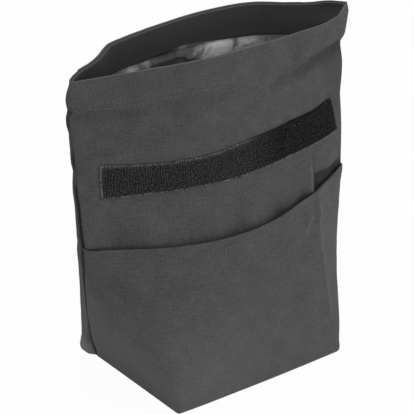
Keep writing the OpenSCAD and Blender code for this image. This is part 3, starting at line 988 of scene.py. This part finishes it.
def makeInside():
    f = liningForm
    for label, wall, way, seed in (("front", frontWall, 1.0, 40), ("back", backWall, -1.0, 60)):
        for band, z0, z1 in f["bands"]:
            p, n, run = cutSheet(wall, z0, z1, f["step"], f["cols"], lift=-f["canvas"] - f["gap"])
            soft = addFolds(f["crumple"] * crumple(run, p[..., 2], seed), *xz(p), liningFolds[label])
            soft *= ease(seamEdge(run) / f["seam"]) * ease((f["topSoft"][0] - p[..., 2]) / f["topSoft"][1])
            p = p - soft[..., None] * n
            piece = clothShell(label + band, p, gridNormals(p, way), run, f["lining"], liningCloth, way)
            paintInside(piece, p, label, way, 1.0)
        clothShell(label + "Facing", *facingSheet(wall, f[label + "Edge"]), f["facing"], facingCloth, way,
                   rims=("top", "bottom"))
    tuck = f["tuck"]
    p, n, run = cutSheet(backWall, *tuck["z"], f["step"], f["cols"], lift=-f["canvas"] - tuck["gap"])
    paintInside(clothShell("backTuck", p, n, run, tuck["thick"], liningCloth, -1.0), p, "back", -1.0, 0.0)


makeInside()
print("lining and facing made")


# pocket panel with its turned hem
def makePocket():
    f, h = pocketForm, pocketForm["hem"]
    p, n, run = cutSheet(pocketWall, f["foot"], f["top"], f["step"], f["cols"])
    # the pocket carries painted seam shade, a painted highlight at its foot and rims, and painted highlights on its
    # crease
    clothShell("pocketPanel", p, n, run, f["canvas"], canvasCloth, rims=("top", "bottom"),
               wear=seamPaintedLight(p, run) + paintPocketLight(p), rimPaleAndLit=f["rimPaleAndLit"])
    sheet = cutSheet(pocketWall, *h["z"], h["step"], h["cols"], -f["canvas"] - h["gap"], h["x0"], h["x1"])
    clothShell("pocketHem", *sheet, h["thick"], canvasCloth, rims=("top", "bottom"))


makePocket()
print("pocket made")


# base: canvas underside, the stiff board stays as a solid, lining on top; level and inset place the edge, z the faces
baseForm = {"rings": 40, "count": 240, "fine": 600, "bulge": 1.004, "crumple": 1.6, "gleam": 0.5,
            "panel": {"level": 1.2, "inset": 0.5, "z": (0, 1.3)},
            "lining": {"level": 4.5, "inset": 1.4, "z": (3.95, 4.6)}}


def baseLoop(z, inset, count):
    share = np.linspace(0.0, 1.0, baseForm["fine"])
    sides = ((frontWall, share), (backWall, share[::-1]))
    p, n = zip(*(wall.sample(np.full_like(share, z), s)[:2] for wall, s in sides))
    p, n = np.vstack([p[0], p[1][1:]])[:, :2], np.vstack([n[0], n[1][1:]])[:, :2]
    p = p - inset * n / np.linalg.norm(n, axis=1, keepdims=True)
    run = np.concatenate([[0.0], np.cumsum(np.linalg.norm(np.diff(p, axis=0), axis=1))])
    s = np.linspace(0.0, run[-1], count, endpoint=False)
    return np.stack([np.interp(s, run, p[:, 0]), np.interp(s, run, p[:, 1])], -1)


def basePlate(name, plate, material, lift=0.0):
    count, (z0, z1) = baseForm["count"], plate["z"]
    loop = baseLoop(plate["level"], plate["inset"], count)
    scale = np.linspace(1.0, 0.0, baseForm["rings"] + 1)[:-1]
    bottom, top = ([np.column_stack([loop * s, np.full(count, z)]) for s in scale] for z in (z0, z1))
    for ring in top if lift else ():
        ring[:, 2] += lift * crumple(ring[:, 0], ring[:, 1], 90)
    side = [np.column_stack([loop * baseForm["bulge"], np.full(count, (z0 + z1) / 2.0)])]
    layers = bottom[::-1] + side + top
    points = np.vstack(layers + [[[0.0, 0.0, z0], [0.0, 0.0, top[-1][:, 2].mean()]]])
    faces = quadsBetween(len(layers), count, ("cols",)).tolist()
    middle, last = len(layers) * count, (len(layers) - 1) * count
    faces += [[middle, (q + 1) % count, q] for q in range(count)]
    faces += [[middle + 1, last + q, last + (q + 1) % count] for q in range(count)]
    return meshPiece(name, points, faces, material, points[:, :2].copy())


def makeBase():
    basePlate("basePanel", baseForm["panel"], canvasCloth)
    inside = basePlate("baseLining", baseForm["lining"], liningCloth, baseForm["crumple"])
    # painted highlight: the whole base lining is painted paler
    setValues(inside, "wear", np.full(len(inside.data.vertices), baseForm["gleam"]))
    board = frame["nodes"]["base_board"]
    board.data.materials.clear()
    board.data.materials.append(boardGrey)


makeBase()
print("base made")


# binding folded over the seam allowances inside both sides
bindingForm = {"near": 3.6, "width": 6, "thick": 1.6, "z": (5.4, 204), "rows": 110, "cols": 14, "inset": 2.4,
               "wave": (0.6, 9), "waveFrom": 40}


def makeBinding(name, side):
    b, rows, cols = bindingForm, bindingForm["rows"], bindingForm["cols"]
    z = np.linspace(*b["z"], rows)
    seam, _, _ = frontWall.sample(z, np.full_like(z, 0.0 if side < 0 else 1.0))
    high, long = b["wave"]
    wave = high * np.sin(z / long) * ease(z / b["waveFrom"])
    section = []
    for q in np.linspace(0.0, 2.0 * math.pi, cols, endpoint=False):
        reach = b["near"] + b["width"] * (0.5 - 0.5 * math.cos(q))
        y = seam[:, 1] + b["thick"] / 2.0 * math.sin(q) + wave * reach / long
        section.append(np.stack([seam[:, 0] - side * (b["inset"] + reach), y, z], -1))
    ring = np.stack(section, 1)
    ends = [[*range(cols)][::-1], [(rows - 1) * cols + q for q in range(cols)]]
    faces = [f[::side] for f in quadsBetween(rows, cols, ("cols",)).tolist() + ends]
    marks = np.stack([np.broadcast_to(np.arange(cols) * 1.0, (rows, cols)), ring[..., 2]], -1).reshape(-1, 2)
    meshPiece(name, ring.reshape(-1, 3), faces, bindingCloth, marks)


makeBinding("leftBinding", -1)
makeBinding("rightBinding", 1)
print("seam bindings made")


# geometry nodes: stitches along a path, hooks over a grid of points
def geometryTree(name, *inputs):
    ends = [("Geometry", "Geometry")]
    return newTree("GeometryNodeTree", name, ends + [*inputs, ("Seed", "Int", 1), ("Material", "Material")], ends)


def geoNode(t, kind, feeds=None, **settings):
    return addNode(t, "GeometryNode" + kind, feeds, **settings)


def vectorNode(t, kind, feeds):
    return addNode(t, kind, feeds, data_type="FLOAT_VECTOR").outputs[0]


def outwardVector(t):
    return vectorNode(t, "GeometryNodeInputNamedAttribute", {"Name": "outward"})


def randomVector(t, i, least, most):
    return vectorNode(t, "FunctionNodeRandomValue", {0: least, 1: most, "Seed": i["Seed"]})


def closeTree(t, i, o, feeds):
    flow = geoNode(t, "InstanceOnPoints", feeds).outputs[0]
    for kind in ("RealizeInstances", "SetShadeSmooth"):
        flow = geoNode(t, kind, {0: flow}).outputs[0]
    paint = geoNode(t, "SetMaterial", {"Geometry": flow, "Material": i["Material"]})
    feed(t, o, {0: paint.outputs[0]})
    return t


def makeStitchTree():
    t, i, o = geometryTree("stitchRow", ("Pitch", "Float", 0.00365), ("Length", "Float", 0.0026),
                           ("Thread", "Float", 0.00052))
    line = geoNode(t, "MeshToCurve", {"Mesh": i["Geometry"]})
    even = geoNode(t, "ResampleCurve", {"Curve": line.outputs[0], "Length": i["Pitch"]}, mode="LENGTH")
    bead = geoNode(t, "MeshUVSphere", {"Segments": 10, "Rings": 6, "Radius": 0.5})
    size = addNode(t, "ShaderNodeCombineXYZ", {0: i["Length"], 1: i["Thread"], 2: i["Thread"]})
    shape = geoNode(t, "Transform", {"Geometry": bead.outputs["Mesh"], "Scale": size.outputs[0]})
    tangent = geoNode(t, "InputTangent").outputs[0]
    along = addNode(t, "FunctionNodeAlignRotationToVector", {"Vector": tangent}, axis="X")
    stand = addNode(t, "FunctionNodeAlignRotationToVector", {"Rotation": along.outputs[0], "Vector": outwardVector(t)},
                    axis="Z", pivot_axis="X")
    return closeTree(t, i, o, {"Points": even.outputs[0], "Instance": shape.outputs[0], "Rotation": stand.outputs[0],
                               "Scale": randomVector(t, i, (0.86, 0.85, 0.85), (1.08, 1.1, 1.1))})


def makeHookTree():
    t, i, o = geometryTree("hookField", ("Height", "Float", 0.0013), ("Wire", "Float", 0.00016))
    bow = geoNode(t, "CurvePrimitiveBezierSegment",
                  {"Resolution": 5, "Start": (0.0, 0.0, 0.0), "Start Handle": (0.0, 0.0, 1.2),
                   "End Handle": (0.75, 0.0, 1.35), "End": (0.62, 0.0, 0.55)})
    size = addNode(t, "ShaderNodeCombineXYZ", {k: i["Height"] for k in range(3)})
    grow = geoNode(t, "Transform", {"Geometry": bow.outputs[0], "Scale": size.outputs[0]})
    ring = geoNode(t, "CurvePrimitiveCircle", {"Resolution": 4, "Radius": i["Wire"]})
    wire = geoNode(t, "CurveToMesh",
                   {"Curve": grow.outputs[0], "Profile Curve": ring.outputs[0], "Fill Caps": True})
    stand = addNode(t, "FunctionNodeAlignRotationToVector", {"Vector": outwardVector(t)}, axis="Z")
    spin = randomVector(t, i, (-0.2, -0.2, 0.5), (0.2, 0.2, 2.6))
    turn = addNode(t, "FunctionNodeRotateRotation", {"Rotation": stand.outputs[0], "Rotate By": spin},
                   rotation_space="LOCAL")
    return closeTree(t, i, o, {"Points": i["Geometry"], "Instance": wire.outputs[0], "Rotation": turn.outputs[0]})


stitchTree = makeStitchTree()
hookTree = makeHookTree()


def growNodes(name, points, edges, outward, tree, values, wear=None):
    mesh = bpy.data.meshes.new(name)
    mesh.from_pydata((points * mm).tolist(), edges, [])
    ways = mesh.attributes.new("outward", "FLOAT_VECTOR", "POINT")
    ways.data.foreach_set("vector", outward.astype(np.float32).ravel())
    piece = bpy.data.objects.new(name, mesh)
    scene.collection.objects.link(piece)
    if wear is not None:
        setValues(piece, "wear", wear)
    mod = piece.modifiers.new("grow", "NODES")
    mod.node_group = tree
    for item in tree.interface.items_tree:
        if item.in_out == "INPUT" and item.name in values:
            mod[item.identifier] = values[item.name]
    bpy.context.view_layer.update()
    made = bpy.data.meshes.new_from_object(piece.evaluated_get(bpy.context.evaluated_depsgraph_get()))
    piece.modifiers.clear()
    piece.data = made
    made.name = name


def stitchPaths(name, seed, material, *paths):
    points, outward = (np.vstack(rows) for rows in zip(*paths))
    ends = np.cumsum([len(p) for p, _ in paths]) - 1
    edges = [(k, k + 1) for k in range(len(points) - 1) if k not in ends]
    growNodes(name, points, edges, outward, stitchTree, {"Seed": seed, "Material": material})


def rowAlong(wall, line, xa, xb, lift, count=160):
    x = np.linspace(xa, xb, count)
    z = line(x)
    p, n, _ = wall.sample(z, wall.shareAt(z, x))
    return p + lift * n, n


# hook strip on the front and loop strip on the back hem; ends are the left and right x of the lower and upper edge
stripForm = {
    "span": 220, "width": 25, "thick": 1.3, "loopZ": 244.6, "gap": 0.15, "edge": 1.6, "rows": 17, "cols": 150,
    "hookEnds": ((-111.5, 114.5), (-110.3, 110)), "loopEnds": ((-110, 110), (-110, 110)),
    "x": [-110, -80, -44, -19, -5, 27, 56, 110],
    "top": [199.2, 196.4, 195.4, 195.2, 196.8, 198.3, 200.2, 198],
    "bottom": [173.2, 174, 173.4, 172.2, 171.6, 172.2, 172.7, 170.6],
    # dark is painted shade towards the right; the left end, the lower selvedge and the rims carry painted highlights
    # and painted shade
    "dark": ([5, 40, 110], [0, -1.12, -1.28]), "fringe": (5, 30), "leftEndHighlight": 2.2,
    "selvedge": (1.3, 0.6), "fray": (0.4, 0.7), "rims": ((-0.6, 0.5), (1.3, 0.8)),
}
# the hooks take a share of the strip's painted shade
bristleForm = {"rows": (0.06, 0.96, 0.052), "cols": (0.011, 0.996, 120), "strayZ": 0.02, "strayX": 0.14, "sunk": 0.05,
               "height": 0.0012, "wire": 0.00024, "dark": 0.6}


def hookEdge(side, inset=0.0):
    f = stripForm
    return lambda x: np.interp(x, f["x"], f[side]) + (inset if side == "bottom" else -inset)


def loopEdge(side, inset=0.0):
    f = stripForm
    return lambda x: np.full_like(x, f["loopZ"] + (inset if side == "bottom" else f["width"] - inset))


def acrossStrip(ends, t, s):
    return mix(mix(ends[0][0], ends[1][0], t), mix(ends[0][1], ends[1][1], t), s)


def stripSheet(wall, edge, ends):
    f = stripForm
    t, s = evenGrid(f["rows"], f["cols"])
    x = acrossStrip(ends, t, s)
    z = mix(edge("bottom")(x), edge("top")(x), t)
    p, n, run = wall.sample(z, wall.shareAt(z, x))
    return p + (f["gap"] + f["thick"]) * n, n, run


def makeStrips():
    f, b = stripForm, bristleForm
    p, n, run = stripSheet(frontWall, hookEdge, f["hookEnds"])
    wear = np.interp(p[..., 0], *f["dark"])
    # the strip is painted darker to the right, where it turns from the light; the upper edge frays pale on the left,
    # the lower selvedge is painted pale on the right as a lit edge, and the left end gets a painted highlight
    fringe = fall(p[0, :, 0], *f["fringe"])
    wear[0] = mix(*f["selvedge"], fringe)
    for row, pale in zip((-2, -1), f["fray"]):
        wear[row] = mix(wear[row], pale, fringe)
    wear[:, 0] = f["leftEndHighlight"]
    clothShell("hookTape", p, n, run, f["thick"], hookFabric, rims=("top", "bottom"), wear=wear,
               rimPaleAndLit=[mix(*ends, fringe) for ends in f["rims"]])
    t, s = np.meshgrid(np.arange(*b["rows"]), np.linspace(*b["cols"]), indexing="ij")
    x = acrossStrip(f["hookEnds"], t, s)
    rng = np.random.default_rng(5)
    z = mix(hookEdge("bottom")(x), hookEdge("top")(x), t + rng.uniform(-b["strayZ"], b["strayZ"], t.shape)).ravel()
    x = (x + rng.uniform(-b["strayX"], b["strayX"], x.shape)).ravel()
    p, n, _ = frontWall.sample(z, frontWall.shareAt(z, x))
    values = {"Seed": 11, "Material": hookBristle, "Height": b["height"], "Wire": b["wire"]}
    growNodes("hookBristles", p + (f["gap"] + f["thick"] - b["sunk"]) * n, [], n, hookTree, values,
              b["dark"] * np.interp(p[:, 0], *f["dark"]))
    clothShell("loopTape", *stripSheet(backWall, loopEdge, f["loopEnds"]), f["thick"], loopFabric, -1.0,
               rims=("top", "bottom"))


makeStrips()
print("strips made")


# rows of stitches: where each starts and ends, and the crossed start of the hem's second thread
stitchForm = {
    "lift": 0.12, "tapeLift": 0.1, "backRow": 246, "backEnd": 128, "backGap": 3, "hemLeft": (-130, -5),
    "hemRight": (97, 128), "hemLow": (-1.5, 93), "cross": (-7, 8), "crossLift": 0.14,
    "rightCount": 50, "crossCount": 30, "crossSlope": (-2.4, 0.16), "pocket": (-127, 126),
}


def makeStitching():
    f, s = stripForm, stitchForm
    half, lift = f["span"] / 2.0 - f["edge"], s["lift"]

    def tapeRows(wall, edge):
        above = f["gap"] + f["thick"] + s["tapeLift"]
        return [rowAlong(wall, edge(side, f["edge"]), -half, half, above) for side in ("top", "bottom")]

    def backRow(x):
        return np.full_like(x, s["backRow"])

    def crossRow(x):
        return hemRow(x) + s["crossSlope"][0] + s["crossSlope"][1] * x
    stitchPaths("hookTapeStitches", 3, threadDark, *tapeRows(frontWall, hookEdge))
    stitchPaths("loopTapeStitches", 4, threadDark, *tapeRows(backWall, loopEdge),
                rowAlong(backWall, backRow, -s["backEnd"], -half - s["backGap"], lift),
                rowAlong(backWall, backRow, half + s["backGap"], s["backEnd"], lift))
    stitchPaths("hemStitches", 6, threadGrey, rowAlong(frontWall, hemRow, *s["hemLeft"], lift),
                rowAlong(frontWall, hemRow, *s["hemRight"], lift, s["rightCount"]))
    stitchPaths("hemStitchesLower", 8, threadGrey, rowAlong(frontWall, hemRow, *s["hemLow"], lift),
                rowAlong(frontWall, crossRow, *s["cross"], s["crossLift"], s["crossCount"]))
    stitchPaths("pocketStitches", 7, threadGrey, rowAlong(pocketWall, pocketRow, *s["pocket"], lift))


makeStitching()
print("stitching made")


# each piece's slot, how it moves and the nodes it stands in for
toRoll, toHem, toBase = (rollWith, "roll_band"), (rollWith, "hem_band"), (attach, "bag_body")
atFront, atSeam, atPocket = (bendWithMouth, False), (bendWithMouth, True), (openWithPocket,)
dressing = {
    "frontPanel": ("canvas", (*atFront, "front"), "front_panel"),
    "backPanel": ("canvas", (*atSeam, "back"), "back_panel", "back_panel_upper"),
    "frontRoll": ("canvas", toRoll, "front_roll"), "backRoll": ("canvas", toRoll, "back_roll"),
    "frontHem": ("canvas", toHem, "front_hem"), "backHem": ("canvas", toHem, "back_hem"),
    "frontLining": ("lining", (*atFront, "frontLining"), "front_lining"),
    "backLining": ("lining", (*atSeam, "backLining", 1), "back_lining", "back_lining_upper"),
    "frontRollLining": ("lining", toRoll, "front_roll_lining"),
    "backRollLining": ("lining", toRoll, "back_roll_lining"),
    "frontFacing": ("facing", toHem, "front_facing"), "backFacing": ("facing", toHem, "back_facing"),
    "backTuck": ("lining", toHem), "pocketPanel": ("canvas", atPocket, "pocket_panel"),
    "pocketHem": ("canvas", atPocket, "pocket_hem"), "pocketStitches": ("thread", atPocket, "pocket_stitching"),
    "basePanel": ("canvas", toBase, "base_panel"), "baseLining": ("lining", toBase, "base_lining"),
    "leftBinding": ("facing", atSeam, "left_seam_binding"), "rightBinding": ("facing", atSeam, "right_seam_binding"),
    "hookTape": ("hook", atFront, "hook_tape"), "hookBristles": ("hook", atFront),
    "hookTapeStitches": ("dark_thread", atFront, "hook_tape_stitching"), "loopTape": ("loop", toHem, "loop_tape"),
    "loopTapeStitches": ("dark_thread", toHem, "loop_tape_stitching"),
    "hemStitches": ("thread", toHem, "front_hem_stitching"), "hemStitchesLower": ("thread", toRoll),
}


def declarePieces():
    made = bpy.data.objects
    for name, (slot, (move, *ways), *nodes) in dressing.items():
        if nodes:
            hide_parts(*nodes)
        move(made[name], *ways)


declarePieces()


# pale floor and soft studio light: each light's place, size and power
studio = {
    "world": 0.62, "aim": (0, -0.02, 0.14), "floor": 4000, "floorZ": -0.2, "floorWhite": 0.97,
    "floorShade": 0.86, "floorRough": 0.95,
    "keyLight": ((1.3, -1.5, 0.7), 1.3, 8.6), "fillLight": ((-0.8, -1.7, 0.4), 1.4, 4.4),
    "topLight": ((0.1, 0.4, 1.9), 1.1, 1),
}


def addLight(name, place, size, power):
    data = bpy.data.lights.new(name, "AREA")
    data.shape, data.size, data.energy = "DISK", size, power
    placeAlong(bpy.data.objects.new(name, data), place, Vector(studio["aim"]) - Vector(place))


def whiteToCamera(tree, shader, out, glowKind, share):
    path = addNode(tree, "ShaderNodeLightPath").outputs
    seen = mathNode(tree, "MAXIMUM", path["Is Glossy Ray"], path["Is Transmission Ray"])
    seen = mathNode(tree, "MAXIMUM", path["Is Camera Ray"], seen)
    glow = addNode(tree, glowKind, {"Color": (1.0, 1.0, 1.0, 1.0), "Strength": 1.0})
    share = mathNode(tree, "MULTIPLY", seen, share)
    join = addNode(tree, "ShaderNodeMixShader", {0: share, 1: shader, 2: glow.outputs[0]})
    tree.links.new(join.outputs[0], out)


def makeStudio():
    s = studio
    world = bpy.data.worlds.new("softRoom")
    scene.world = world
    world.use_nodes = True
    t = world.node_tree
    back = t.nodes["Background"]
    feed(t, back, {"Color": (1.0, 1.0, 1.0, 1.0), "Strength": s["world"]})
    whiteToCamera(t, back.outputs[0], t.nodes["World Output"].inputs["Surface"], "ShaderNodeBackground", 1.0)
    m, t, bsdf = newMaterial("paleFloor")
    feed(t, bsdf, {"Base Color": (*[s["floorShade"]] * 3, 1.0), "Roughness": s["floorRough"]})
    end = t.nodes["Material Output"].inputs["Surface"]
    whiteToCamera(t, bsdf.outputs[0], end, "ShaderNodeEmission", s["floorWhite"])
    corners = np.array([[-1, -1], [1, -1], [1, 1], [-1, 1]]) * s["floor"]
    floor = meshPiece("floor", np.column_stack([corners, np.full(4, s["floorZ"])]), [[0, 1, 2, 3]], m)
    for name in ("keyLight", "fillLight", "topLight"):
        addLight(name, *s[name])


makeStudio()
print("studio ready")
